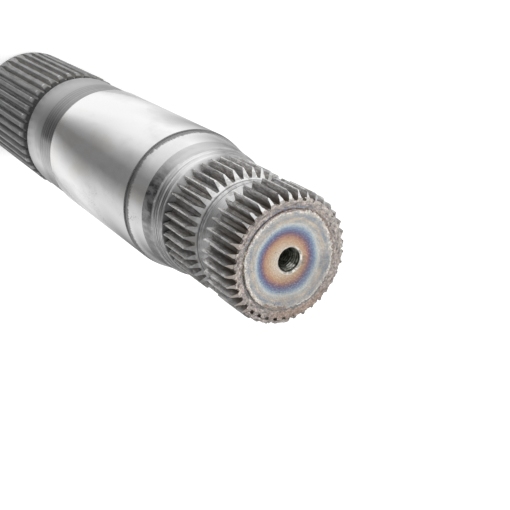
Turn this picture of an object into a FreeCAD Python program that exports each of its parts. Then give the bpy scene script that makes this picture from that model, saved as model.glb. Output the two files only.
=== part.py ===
import FreeCAD, Part
import os
import Sketcher

# Hydraulic lift arm shaft of a tractor: one turned, splined and hardened steel bar.
# It stands on the flat of its drive end. +Z runs along its axis to the lift arm end,
# and the origin is the centre of the drive end's flat.

os.makedirs("parts", exist_ok=True)
doc = FreeCAD.newDocument("lift_arm_shaft")

sizes = {
    # Drive end: a coarse spline that takes the ram lever.
    "drive_tip_d": 60.0,
    "drive_teeth": 40,
    "drive_tooth_depth": 2.4,
    "drive_crest": 1.7,
    "drive_crest_break": 0.35,
    "drive_root_flat": 0.9,
    "drive_turn": 2.6,
    "drive_end_chamfer": 1.8,
    "drive_end_band": 0.8,
    "drive_full_teeth": 65.9,
    "drive_lead": 4.8,
    "drive_relief": 3.5,
    "drive_relief_depth": 0.4,
    # Neck between the drive spline and the journal.
    "neck_d": 58.0,
    "neck_body": 33.8,
    "neck_shoulder": 0.4,
    "neck_mark_count": 3,
    "neck_mark_pitch": 4.8,
    "neck_mark_width": 1.8,
    "neck_mark_depth": 0.2,
    "neck_mark_inset": 2.4,
    # Ground journal that turns in the housing's bush.
    "journal_d": 59.0,
    "journal_body": 83.4,
    "undercut": 1.5,
    "undercut_depth": 0.6,
    # Lead cone and the stepped shoulder down to the arm spline.
    "lead_cone": 10.5,
    "lead_cone_step": 0.2,
    "rough_cone": 6.7,
    "rough_cone_d": 54.4,
    "upper_step_d": 53.2,
    "upper_step_ramp": 0.5,
    "lower_step": 2.7,
    "lower_step_d": 51.8,
    "lower_step_ramp": 0.5,
    "lip": 2.3,
    "lip_d": 50.6,
    # Arm end: a fine spline in two bands, with the clamp bolt's groove between them.
    "arm_tip_d": 50.0,
    "arm_teeth": 38,
    "arm_tooth_depth": 3.4,
    "arm_crest": 0.6,
    "arm_root_flat": 1.1,
    "arm_relief_ramp": 0.8,
    "arm_relief": 0.9,
    "arm_relief_depth": 0.2,
    "inner_band": 16.4,
    "clamp_groove_ramp": 3.2,
    "clamp_groove": 10.6,
    "clamp_groove_depth": 4.0,
    "outer_band": 16.5,
    "arm_lead": 2.0,
    "arm_lead_depth": 2.5,
    # End face: a rim round a faintly raised disc, with a centre hole.
    "rim_width": 3.2,
    "face_line": 0.6,
    "face_line_depth": 0.25,
    "face_disc_rise": 0.2,
    "hole_d": 9.0,
    "hole_mouth": 0.6,
    "hole_depth": 25.0,
    "hole_point_angle": 118.0,
}

sheet = doc.addObject("Spreadsheet::Sheet", "Sizes")
for row, (alias, number) in enumerate(sizes.items(), start=1):
    sheet.set(f"A{row}", alias)
    sheet.set(f"B{row}", str(number))
    sheet.setAlias(f"B{row}", alias)
doc.recompute()


def cell(name, factor=1):
    return f"{factor} * Sizes.{name}"


# Heights of the turned sections, summed from the drive end's flat up to the arm end.
sections = [
    ("drive_chamfer_top", "drive_end_chamfer"),
    ("drive_teeth_top", "drive_full_teeth"),
    ("drive_lead_top", "drive_lead"),
    ("neck_bottom", "drive_relief"),
    ("neck_top", "neck_body"),
    ("journal_bottom", "neck_shoulder"),
    ("journal_top", "journal_body"),
    ("undercut_top", "undercut"),
    ("lead_cone_top", "lead_cone"),
    ("rough_cone_top", "rough_cone"),
    ("lower_step_bottom", "upper_step_ramp"),
    ("lower_step_top", "lower_step"),
    ("lip_bottom", "lower_step_ramp"),
    ("lip_top", "lip"),
    ("arm_relief_bottom", "arm_relief_ramp"),
    ("arm_relief_top", "arm_relief"),
    ("inner_band_top", "inner_band"),
    ("clamp_groove_bottom", "clamp_groove_ramp"),
    ("clamp_groove_top", "clamp_groove"),
    ("outer_band_top", "outer_band"),
    ("rim", "arm_lead"),
    ("face", "face_disc_rise"),
]
height = {}
reach = "0"
for name, length in sections:
    reach = f"{reach} + {cell(length)}"
    height[name] = reach

# Radii of the turned sections.
radius = {}
radius["drive_tip"] = cell("drive_tip_d", 0.5)
radius["drive_end"] = f"{radius['drive_tip']} - {cell('drive_end_chamfer')}"
radius["drive_root"] = f"{radius['drive_tip']} - {cell('drive_tooth_depth')}"
radius["drive_relief"] = f"{radius['drive_root']} - {cell('drive_relief_depth')}"
radius["neck"] = cell("neck_d", 0.5)
radius["journal"] = cell("journal_d", 0.5)
radius["undercut"] = f"{radius['journal']} - {cell('undercut_depth')}"
radius["lead_cone"] = f"{radius['journal']} - {cell('lead_cone_step')}"
radius["rough_cone"] = cell("rough_cone_d", 0.5)
radius["upper_step"] = cell("upper_step_d", 0.5)
radius["lower_step"] = cell("lower_step_d", 0.5)
radius["lip"] = cell("lip_d", 0.5)
radius["arm_tip"] = cell("arm_tip_d", 0.5)
radius["arm_root"] = f"{radius['arm_tip']} - {cell('arm_tooth_depth')}"
radius["arm_relief"] = f"{radius['arm_root']} - {cell('arm_relief_depth')}"
radius["clamp_groove"] = f"{radius['arm_tip']} - {cell('clamp_groove_depth')}"
radius["rim"] = f"{radius['arm_tip']} - {cell('arm_lead_depth')}"
radius["face_line"] = f"{radius['rim']} - {cell('rim_width')}"
radius["face_disc"] = f"{radius['face_line']} - {cell('face_line')}"
radius["hole"] = cell("hole_d", 0.5)
radius["hole_mouth"] = f"{radius['hole']} + {cell('hole_mouth')}"

shaft = doc.addObject("PartDesign::Body", "shaft")
shaft.Label = "lift_arm_shaft"


def origin_item(role):
    return next(item for item in shaft.Origin.OriginFeatures if item.Role == role)


def attached_sketch(name, plane_role):
    sketch = shaft.newObject("Sketcher::SketchObject", name)
    sketch.AttachmentSupport = (origin_item(plane_role), "")
    sketch.MapMode = "FlatFace"
    return sketch


# A closed outline through (radius, height) corners, each dimensioned from the origin.
# A radius of None is a corner on the axis, and a height of None one on the drive end's plane.
def outline_sketch(name, corners):
    sketch = attached_sketch(name, "XZ_Plane")
    count = len(corners)
    rough = [
        FreeCAD.Vector(0 if out is None else 10 + step, 0 if up is None else 10 + 2 * step, 0)
        for step, (out, up) in enumerate(corners)
    ]
    edges = [Part.LineSegment(rough[step], rough[(step + 1) % count]) for step in range(count)]
    sketch.addGeometry(edges, False)
    limits = []
    driven = []
    for step, (out, up) in enumerate(corners):
        limits.append(Sketcher.Constraint("Coincident", step, 2, (step + 1) % count, 1))
        if out is None:
            limits.append(Sketcher.Constraint("PointOnObject", step, 1, -2))
        else:
            driven.append((len(limits), f"out_{step}", out))
            limits.append(Sketcher.Constraint("DistanceX", -1, 1, step, 1, rough[step].x))
        if up is None:
            limits.append(Sketcher.Constraint("PointOnObject", step, 1, -1))
        else:
            driven.append((len(limits), f"up_{step}", up))
            limits.append(Sketcher.Constraint("DistanceY", -1, 1, step, 1, rough[step].y))
    sketch.addConstraint(limits)
    for index, label, formula in driven:
        sketch.renameConstraint(index, label)
        sketch.setExpression(f"Constraints.{label}", formula)
    return sketch


def turned(kind, name, corners):
    sketch = outline_sketch(f"{name}_outline", corners)
    feature = shaft.newObject(kind, name)
    feature.Profile = sketch
    feature.ReferenceAxis = (sketch, ["V_Axis"])
    feature.Angle = 360
    shaft.Tip = feature
    doc.recompute()
    return feature


# Runs a cut and checks that it took material away.
def cut_with(make, *details):
    before = shaft.Shape.Volume
    feature = make(*details)
    if not shaft.Shape.Volume < before:
        raise RuntimeError(f"{feature.Name} cuts nothing")
    return feature


# The blank as it leaves the lathe, from the drive end's flat up to the arm end's face.
turned("PartDesign::Revolution", "blank", [
    (None, None),
    (radius["drive_end"], None),
    (radius["drive_tip"], height["drive_chamfer_top"]),
    (radius["drive_tip"], height["drive_teeth_top"]),
    (radius["drive_relief"], height["drive_lead_top"]),
    (radius["drive_relief"], height["neck_bottom"]),
    (radius["neck"], height["neck_bottom"]),
    (radius["neck"], height["neck_top"]),
    (radius["journal"], height["journal_bottom"]),
    (radius["journal"], height["journal_top"]),
    (radius["undercut"], height["journal_top"]),
    (radius["undercut"], height["undercut_top"]),
    (radius["lead_cone"], height["undercut_top"]),
    (radius["rough_cone"], height["lead_cone_top"]),
    (radius["upper_step"], height["rough_cone_top"]),
    (radius["lower_step"], height["lower_step_bottom"]),
    (radius["lower_step"], height["lower_step_top"]),
    (radius["lip"], height["lip_bottom"]),
    (radius["lip"], height["lip_top"]),
    (radius["arm_relief"], height["arm_relief_bottom"]),
    (radius["arm_relief"], height["arm_relief_top"]),
    (radius["arm_tip"], height["arm_relief_top"]),
    (radius["arm_tip"], height["inner_band_top"]),
    (radius["clamp_groove"], height["clamp_groove_bottom"]),
    (radius["clamp_groove"], height["clamp_groove_top"]),
    (radius["arm_tip"], height["clamp_groove_top"]),
    (radius["arm_tip"], height["outer_band_top"]),
    (radius["rim"], height["rim"]),
    (radius["face_line"], height["rim"]),
    (radius["face_disc"], f"{height['rim']} - {cell('face_line_depth')}"),
    (radius["face_disc"], height["face"]),
    (None, height["face"]),
])


# A shallow V-shaped turning mark, cut round the neck at one height.
def turning_mark(name, middle):
    half_width = cell("neck_mark_width", 0.5)
    depth = cell("neck_mark_depth")
    return turned("PartDesign::Groove", name, [
        (f"{radius['neck']} - {depth}", middle),
        (radius["neck"], f"{middle} - {half_width}"),
        (f"{radius['neck']} + {depth}", f"{middle} - {half_width}"),
        (f"{radius['neck']} + {depth}", f"{middle} + {half_width}"),
        (radius["neck"], f"{middle} + {half_width}"),
    ])


# Turning marks on the neck, next to the journal.
first_neck_mark = cut_with(
    turning_mark, "neck_mark", f"{height['neck_top']} - {cell('neck_mark_inset')}"
)
neck_marks = shaft.newObject("PartDesign::LinearPattern", "neck_marks")
neck_marks.Originals = [first_neck_mark]
neck_marks.Direction = (origin_item("Z_Axis"), [""])
neck_marks.Reversed = True
neck_marks.setExpression("Length", f"{cell('neck_mark_pitch')} * (Sizes.neck_mark_count - 1)")
neck_marks.setExpression("Occurrences", "Sizes.neck_mark_count")
shaft.Tip = neck_marks
doc.recompute()

# Centre hole in the arm end, with a drill point at its bottom and a chamfered mouth.
hole_bottom = f"{height['face']} - {cell('hole_depth')}"
hole_point = f"{radius['hole']} / tan({cell('hole_point_angle', 0.5)} * 1 deg)"
cut_with(turned, "PartDesign::Groove", "centre_hole", [
    (None, f"{hole_bottom} - {hole_point}"),
    (radius["hole"], hole_bottom),
    (radius["hole"], f"{height['face']} - {cell('hole_mouth')}"),
    (radius["hole_mouth"], height["face"]),
    (None, height["face"]),
])


# One spline gap as a section across the shaft, opening along +X: a flat root, two straight
# flanks, and a break that eases the crests on both sides. The section is drawn past the
# crests, and its second half mirrors the first.
def gap_sketch(end, level, crest_break):
    past_crest = 1
    tip_radius = radius[f"{end}_tip"]
    half_root = cell(f"{end}_root_flat", 0.5)
    half_gap = f"pi * {tip_radius} / Sizes.{end}_teeth - {cell(f'{end}_crest', 0.5)}"
    half = [
        (radius[f"{end}_root"], half_root),
        (f"{tip_radius} - {crest_break}", f"{half_gap} - {crest_break}"),
        (f"{tip_radius} + {past_crest}", f"{half_gap} + {past_crest}"),
    ]
    corners = 2 * len(half)
    rough = [FreeCAD.Vector(20 + 2 * step, 1 + step, 0) for step in range(len(half))]
    rough += [FreeCAD.Vector(point.x, -point.y, 0) for point in reversed(rough)]

    sketch = attached_sketch(f"{end}_gap_outline", "XY_Plane")
    sketch.setExpression("AttachmentOffset.Base.z", level)
    edges = [Part.LineSegment(rough[step], rough[(step + 1) % corners]) for step in range(corners)]
    sketch.addGeometry(edges, False)
    limits = [
        Sketcher.Constraint("Coincident", step, 2, (step + 1) % corners, 1) for step in range(corners)
    ]
    limits += [
        Sketcher.Constraint("Symmetric", step, 1, corners - 1 - step, 1, -1) for step in range(len(half))
    ]
    driven = []
    for step, (out, up) in enumerate(half):
        driven.append((f"out_{step}", "DistanceX", step, rough[step].x, out))
        driven.append((f"up_{step}", "DistanceY", step, rough[step].y, up))
    first_driven = len(limits)
    limits += [Sketcher.Constraint(kind, -1, 1, step, 1, value) for _, kind, step, value, _ in driven]
    sketch.addConstraint(limits)
    for index, (label, _, _, _, formula) in enumerate(driven, start=first_driven):
        sketch.renameConstraint(index, label)
        sketch.setExpression(f"Constraints.{label}", formula)
    return sketch


# Cuts one gap and repeats it round the shaft.
def cut_spline(end, level, depth, upwards, turn, crest_break):
    sketch = gap_sketch(end, level, crest_break)
    sketch.setExpression("AttachmentOffset.Rotation.Angle", turn)
    gap = shaft.newObject("PartDesign::Pocket", f"{end}_gap")
    gap.Profile = sketch
    gap.Reversed = upwards
    gap.setExpression("Length", depth)
    shaft.Tip = gap
    doc.recompute()
    ring = shaft.newObject("PartDesign::PolarPattern", f"{end}_spline")
    ring.Originals = [gap]
    ring.Axis = (origin_item("Z_Axis"), [""])
    ring.Angle = 360
    ring.setExpression("Occurrences", f"Sizes.{end}_teeth")
    shaft.Tip = ring
    doc.recompute()
    return ring


# Each spline's gaps run out in the middle of its relief, and the drive spline's begin past a
# plain band at its end. The arm spline's crests stay sharp.
arm_gap_depth = f"{height['face']} - ({height['arm_relief_bottom']} + {cell('arm_relief', 0.5)})"
cut_with(cut_spline, "arm", height["face"], arm_gap_depth, False, "0", "0")
drive_gap_start = f"{height['drive_chamfer_top']} + {cell('drive_end_band')}"
drive_gap_depth = f"{height['drive_lead_top']} + {cell('drive_relief', 0.5)} - ({drive_gap_start})"
cut_with(
    cut_spline, "drive", drive_gap_start, drive_gap_depth, True, cell("drive_turn"), cell("drive_crest_break")
)

for item in doc.Objects:
    if "Invalid" in item.State or "Error" in item.State:
        raise RuntimeError(f"{item.Name} has failed: {item.State}")
if shaft.Shape.isNull() or not shaft.Shape.isValid():
    raise RuntimeError(f"{shaft.Label} has no valid shape")
shaft.Shape.exportStep(f"parts/{shaft.Label}.step")
print(shaft.Label, "solids", len(shaft.Shape.Solids), "volume mm3", round(shaft.Shape.Volume))
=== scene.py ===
from functools import partial
from math import cos, hypot, pi, radians, sin

import bmesh
import bpy
from mathutils import Matrix, Vector


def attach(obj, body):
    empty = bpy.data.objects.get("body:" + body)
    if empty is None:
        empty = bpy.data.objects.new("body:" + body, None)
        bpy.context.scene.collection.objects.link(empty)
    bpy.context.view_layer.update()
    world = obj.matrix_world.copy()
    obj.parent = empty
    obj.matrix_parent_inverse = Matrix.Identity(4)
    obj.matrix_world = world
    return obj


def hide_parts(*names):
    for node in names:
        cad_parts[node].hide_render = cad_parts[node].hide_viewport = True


# Hydraulic lift arm shaft of a tractor, standing on its drive end. Sizes are in millimetres
# and sides are in degrees round the shaft, unless a note says otherwise. The scene is in
# metres.

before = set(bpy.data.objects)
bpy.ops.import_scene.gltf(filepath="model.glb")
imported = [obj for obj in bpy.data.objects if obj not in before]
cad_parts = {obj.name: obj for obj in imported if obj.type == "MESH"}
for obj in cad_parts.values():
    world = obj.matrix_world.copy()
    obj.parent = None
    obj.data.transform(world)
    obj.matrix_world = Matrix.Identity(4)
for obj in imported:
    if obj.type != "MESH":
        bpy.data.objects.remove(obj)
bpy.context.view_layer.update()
mm = 0.001
weld = 0.001 * mm  # points nearer than this become one
hair = 0.01        # how far off a picked point may be


def deselectAll():
    if bpy.context.object and bpy.context.object.mode != "OBJECT":
        bpy.ops.object.mode_set(mode="OBJECT")
    for item in list(bpy.context.selected_objects):
        item.select_set(False)


def activate(piece):
    deselectAll()
    piece.select_set(True)
    bpy.context.view_layer.objects.active = piece


# Draws edges from point to point and leaves the new piece open in edit mode
def drawPath(name, points):
    deselectAll()
    bpy.ops.mesh.primitive_plane_add(size=mm)
    path = bpy.context.object
    path.name = name
    bpy.ops.object.mode_set(mode="EDIT")
    bpy.ops.mesh.select_mode(type="VERT")
    bpy.ops.mesh.select_all(action="SELECT")
    bpy.ops.mesh.merge(type="CENTER")
    here = Vector((0, 0, 0))
    for step, point in enumerate(points):
        move = Vector(point) * mm - here
        here = Vector(point) * mm
        if step == 0:
            bpy.ops.transform.translate(value=move)
        else:
            bpy.ops.mesh.extrude_region_move(TRANSFORM_OT_translate={"value": move})
    return path


# Selects the points whose place passes a test
def pick(piece, test):
    mesh = bmesh.from_edit_mesh(piece.data)
    for vertex in mesh.verts:
        vertex.select_set(bool(test(vertex.co / mm)))
    mesh.select_flush_mode()
    bmesh.update_edit_mesh(piece.data)


def faceOutwards():
    bpy.ops.mesh.select_all(action="SELECT")
    bpy.ops.mesh.normals_make_consistent(inside=False)


def turnPiece(piece, side):
    piece.rotation_euler.z = radians(side)
    bpy.ops.object.transform_apply(location=False, rotation=True, scale=False)


# Dents and lumps of one size, pressed in along the normals of the active piece
def roughen(piece, name, grain, depth, level, group=""):
    lumps = bpy.data.textures.new(name, "CLOUDS")
    lumps.noise_scale = grain * mm
    lumps.noise_depth = 2
    dent = piece.modifiers.new(name, "DISPLACE")
    dent.texture = lumps
    dent.texture_coords = "LOCAL"
    dent.vertex_group = group
    dent.mid_level = level
    dent.strength = depth * mm
    bpy.ops.object.modifier_apply(modifier=dent.name)


# The bar as it leaves the lathe: corners of its outline as radius and height, with the
# edge rounding of each. The chuck end is at the bottom and the arm end at the top.
bar = {
    "turnSteps": 380,
    "edgeSegments": 2,
    "sharpFrom": 28,           # degrees between two faces that show an edge
    "corners": [
        (0, 241.2, 0),         # drill point of the centre hole
        (4.5, 243.9, 0),
        (4.5, 268.3, 0.1),
        (5.1, 268.9, 0.08),
        (18.7, 268.9, 0.08),   # raised disc
        (18.7, 268.45, 0.06),
        (19.3, 268.7, 0.1),
        (22.5, 268.7, 0.2),    # rim and chamfer
        (25.0, 266.7, 0.25),
        (25.0, 250.2, 0.12),   # outer band
        (21.0, 250.2, 0.4),
        (21.0, 242.6, 0),      # clamp groove and its two turned lines
        (20.8, 242.3, 0),
        (21.0, 242.0, 0),
        (21.0, 239.9, 0.1),
        (20.8, 239.6, 0.05),
        (25.0, 236.3, 0.1),
        (25.0, 219.6, 0.12),   # inner band
        (21.4, 219.6, 0.15),
        (21.4, 219.1, 0.1),
        (25.3, 218.3, 0.15),   # lip
        (25.3, 216.0, 0.1),
        (25.9, 215.5, 0.15),   # lower step
        (25.9, 212.8, 0.1),
        (26.6, 212.3, 0.15),   # rough cone
        (27.2, 205.6, 0.3),
        (29.3, 195.1, 0.12),   # lead cone
        (28.9, 195.1, 0.08),   # undercut
        (28.9, 193.6, 0.08),
        (29.5, 193.6, 0.15),   # journal
        (29.5, 110.2, 0.1),
        (29.0, 109.8, 0.1),
        (29.0, 108.3, 0.1),    # neck and its turning marks
        (28.8, 107.4, 0.05),
        (29.0, 106.5, 0.1),
        (29.0, 105.5, 0.05),
        (28.88, 105.1, 0.03),
        (29.0, 104.7, 0.05),
        (29.0, 103.5, 0.1),
        (28.8, 102.6, 0.05),
        (29.0, 101.7, 0.1),
        (29.0, 100.7, 0.05),
        (28.88, 100.3, 0.03),
        (29.0, 99.9, 0.05),
        (29.0, 98.7, 0.1),
        (28.8, 97.8, 0.05),
        (29.0, 96.9, 0.1),
        (29.0, 95.7, 0.05),
        (28.88, 95.3, 0.03),
        (29.0, 94.9, 0.05),
        (29.0, 76.0, 0.15),
        (27.2, 76.0, 0.3),     # relief
        (27.2, 72.5, 0.3),
        (30.0, 67.7, 0.3),     # drive end
        (30.0, 1.8, 0.2),
        (28.2, 0, 0.1),
        (0, 0, 0),
    ],
}


def turnBar():
    shaft = drawPath("liftArmShaft", [(out, 0, up) for out, up, edge in bar["corners"]])
    for size in sorted({edge for out, up, edge in bar["corners"] if edge}):
        corners = {(out, up) for out, up, edge in bar["corners"] if edge == size}
        pick(shaft, lambda place: (round(place.x, 3), round(place.z, 3)) in corners)
        bpy.ops.mesh.bevel(
            offset=size * mm, segments=bar["edgeSegments"], affect="VERTICES", clamp_overlap=True
        )
    bpy.ops.mesh.select_all(action="SELECT")
    bpy.ops.mesh.spin(steps=bar["turnSteps"], angle=2 * pi, center=(0, 0, 0), axis=(0, 0, 1))
    bpy.ops.mesh.select_all(action="SELECT")
    bpy.ops.mesh.remove_doubles(threshold=weld)
    faceOutwards()
    bpy.ops.object.mode_set(mode="OBJECT")
    return shaft


# One gap of each spline, as the hob leaves it. The cutter is drawn across the gap at the
# first height and then pulled up through the others, which also divide the teeth for wear.
armGaps = {
    "teeth": 38,
    "tipRadius": 25.0,
    "rootRadius": 21.6,
    "crest": 0.5,        # width of a tooth's top
    "crestBreak": 0.16,
    "rootFlat": 1.2,
    "rootRound": 0.55,
    "runOut": 0,         # how far the hob lifts out at the first height
    "heights": [219.3, 221.5, 224, 234, 252.5, 255.5, 262, 265.2, 266.4, 267.5, 270],
    "turn": 0,
}
driveGaps = {
    "teeth": 40,
    "tipRadius": 30.0,
    "rootRadius": 27.6,
    "crest": 1.7,
    "crestBreak": 0.35,
    "rootFlat": 0.9,
    "rootRound": 0.4,
    "runOut": 2.1,
    "heights": [2.6, 8, 74.25],
    "turn": 2.6,
}
hob = {
    "flankBreak": 0.1,                         # in crest breaks, as the next line is
    "crestCurve": [(-0.3, 0.35), (0.3, 1.4)],  # outwards and sideways from a crest's edge
    "clear": 0.9,                              # how far the cutter stands out past the tips
    "rootSegments": 4,
}


def cutGaps(shaft, gaps):
    tip, root, ease = gaps["tipRadius"], gaps["rootRadius"], gaps["crestBreak"]
    half = pi * tip / gaps["teeth"] - gaps["crest"] / 2
    slope = (half - gaps["rootFlat"] / 2) / (tip - root)
    side = [
        (root, gaps["rootFlat"] / 2),
        (tip - ease, half - ease * slope - hob["flankBreak"] * ease),
    ]
    side += [(tip + out * ease, half + across * ease) for out, across in hob["crestCurve"]]
    side.append((tip + hob["clear"], side[-1][1]))
    low, rise = gaps["heights"][0], gaps["runOut"]
    outline = [(out + rise, across, low) for out, across in side]
    outline += [(out + rise, -across, low) for out, across in reversed(side)]
    cutter = drawPath("gapCutter", outline)
    pick(cutter, lambda place: place.x < root + rise + hair)
    bpy.ops.mesh.bevel(
        offset=gaps["rootRound"] * mm, segments=hob["rootSegments"], affect="VERTICES",
        clamp_overlap=True,
    )
    bpy.ops.mesh.select_all(action="SELECT")
    bpy.ops.mesh.edge_face_add()
    for high in gaps["heights"][1:]:
        move = (-rise * mm, 0, (high - low) * mm)
        bpy.ops.mesh.extrude_region_move(TRANSFORM_OT_translate={"value": move})
        low, rise = high, 0
    faceOutwards()
    copies = gaps["teeth"] - 1
    bpy.ops.mesh.spin(
        steps=copies, dupli=True, angle=2 * pi * copies / gaps["teeth"],
        center=(0, 0, 0), axis=(0, 0, 1),
    )
    bpy.ops.object.mode_set(mode="OBJECT")
    turnPiece(cutter, gaps["turn"])
    cut = shaft.modifiers.new("gaps", "BOOLEAN")
    cut.operation = "DIFFERENCE"
    cut.solver = "EXACT"
    cut.object = cutter
    activate(shaft)
    bpy.ops.object.modifier_apply(modifier=cut.name)
    bpy.data.objects.remove(cutter)


shaft = turnBar()
print("bar turned", len(shaft.data.polygons))
cutGaps(shaft, armGaps)
print("arm spline cut", len(shaft.data.polygons))
cutGaps(shaft, driveGaps)
print("drive spline cut", len(shaft.data.polygons))

# Wear of the arm spline: its teeth are battered at the face and where each band runs out
# at its back end.
wear = {
    "grain": 1.6,
    "depth": 2.4,
    "level": 0.72,      # above a half, more is taken off than thrown up
    "worstSide": -80,
    "mildest": 0.45,    # what the side away from the worst one has of its wear
    "tips": {"from": 265, "ease": 1.2, "to": 268.65, "outside": 21.7, "share": 0.55},
    "backEnds": {"from": (219.2, 250), "length": 6, "outside": 22.5, "share": 0.3},
}


def wearTeeth(shaft):
    group = shaft.vertex_groups.new(name="worn")
    worst, mildest = radians(wear["worstSide"]), wear["mildest"]
    tips, back = wear["tips"], wear["backEnds"]
    for vertex in shaft.data.vertices:
        x, y, up = vertex.co / mm
        out = hypot(x, y)
        share = 0
        if tips["from"] < up < tips["to"] and out > tips["outside"]:
            side = 0.5 + 0.5 * (x * cos(worst) + y * sin(worst)) / out
            share = min(1, (up - tips["from"]) / tips["ease"]) * tips["share"]
            share *= mildest + (1 - mildest) * side
        elif out > back["outside"]:
            for start in back["from"]:
                if start < up < start + back["length"]:
                    share = (1 - (up - start) / back["length"]) * back["share"]
                    share *= (out - back["outside"]) / (armGaps["tipRadius"] - back["outside"])
        if share > 0:
            group.add([vertex.index], share, "REPLACE")
    roughen(shaft, "wear", wear["grain"], wear["depth"], wear["level"], group.name)
    shaft.vertex_groups.clear()


activate(shaft)
wearTeeth(shaft)
bpy.ops.object.shade_smooth_by_angle(angle=radians(bar["sharpFrom"]))
print("teeth worn")


# sRGB hex to linear
def hexColor(code):
    parts = [int(code[at:at + 2], 16) / 255 for at in (1, 3, 5)]
    return [
        part / 12.92 if part <= 0.04045 else ((part + 0.055) / 1.055) ** 2.4 for part in parts
    ] + [1]


def firstOutput(node):
    return next(socket for socket in node.outputs if socket.enabled)


# Adds one node. Inputs are given in order: a value, a colour, or what feeds them. The stops
# of a colour ramp are a hex colour or a grey level each.
def addNode(tree, kind, inputs=(), stops=(), **settings):
    node = tree.nodes.new("ShaderNode" + kind)
    for name, value in settings.items():
        setattr(node, name, value)
    for index, (at, color) in enumerate(stops):
        if index > 1:
            node.color_ramp.elements.new(1)
        stop = node.color_ramp.elements[index]
        stop.position = at
        stop.color = hexColor(color) if isinstance(color, str) else [color] * 3 + [1]
    for socket, value in zip([socket for socket in node.inputs if socket.enabled], inputs):
        if isinstance(value, bpy.types.Node):
            value = firstOutput(value)
        if isinstance(value, bpy.types.NodeSocket):
            tree.links.new(value, socket)
        elif value is not None:
            socket.default_value = hexColor(value) if isinstance(value, str) else value
    return node


times = {"operation": "MULTIPLY"}
timesPlus = {"operation": "MULTIPLY_ADD"}
minus = {"operation": "SUBTRACT"}
larger = {"operation": "MAXIMUM"}
soft = {"interpolation_type": "SMOOTHSTEP"}
blend = {"data_type": "RGBA"}


def startFinish(name, metallic, roughness):
    material = bpy.data.materials.new(name)
    material.use_nodes = True
    shader = material.node_tree.nodes["Principled BSDF"]
    shader.inputs["Metallic"].default_value = metallic
    shader.inputs["Roughness"].default_value = roughness
    add = partial(addNode, material.node_tree)
    place = add("TexCoord").outputs["Object"]
    parts = add("SeparateXYZ", [place])
    flat = add("CombineXYZ", parts.outputs[:2])
    radius = add("VectorMath", [flat], operation="LENGTH")
    return material, add, place, flat, parts.outputs[2], radius


def endFinish(material, sources):
    shader = material.node_tree.nodes["Principled BSDF"]
    for name, source in sources.items():
        material.node_tree.links.new(firstOutput(source), shader.inputs[name])
    return material


# 1 on the side of the shaft that looks towards an angle, 0 away from it. It starts at the
# low cosine of the angle between them and is full at the high one. A side in a finish's
# dictionary is these three numbers.
def addSide(add, flat, turn, low, high):
    way = add("VectorMath", [flat], operation="NORMALIZE")
    aim = (cos(radians(turn)), sin(radians(turn)), 0)
    toward = add("VectorMath", [way, aim], operation="DOT_PRODUCT")
    return add("MapRange", [toward, low, high, 0, 1], **soft)


# 1 between two heights or radii, with soft ends
def addBand(add, value, low, high, ease):
    rise = add("MapRange", [value, (low - ease) * mm, (low + ease) * mm, 0, 1], **soft)
    fall = add("MapRange", [value, (high + ease) * mm, (high - ease) * mm, 0, 1], **soft)
    return add("Math", [rise, fall], **times)


# The scale of a noise is its number of grains to the metre, and a note gives their size.
# One that is stretched along the shaft has its size across.

# Ground and polished journal: induction hardened steel off the grinding wheel. It shows
# the studio as a soft mirror, with faint clouds, a little straw tint and fine pitting.
ground = {
    "color": "#efefef",
    "dullAndShade": "#d4d4d4",
    "straw": "#e4d8c8",
    "strawSide": (14, 0.8, 0.98),
    "pit": "#979695",
    "pitSide": (70, 0.7, 0.95),
    "pitsFrom": (140, 180),            # few below these heights, all of them above
    "scored": "#616161",
    "undercut": 194.35,
    "tears": [(50, 1.3), (-70, 1.7)],  # angle, how much further it is torn there
    "rings": 2600,                     # 0.4 mm
    "clouds": 60,                      # 17 mm
    "specks": 1300,                    # 0.8 mm, coarser than real pits so that they show
    "torn": 1300,                      # 0.8 mm
}


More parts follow.
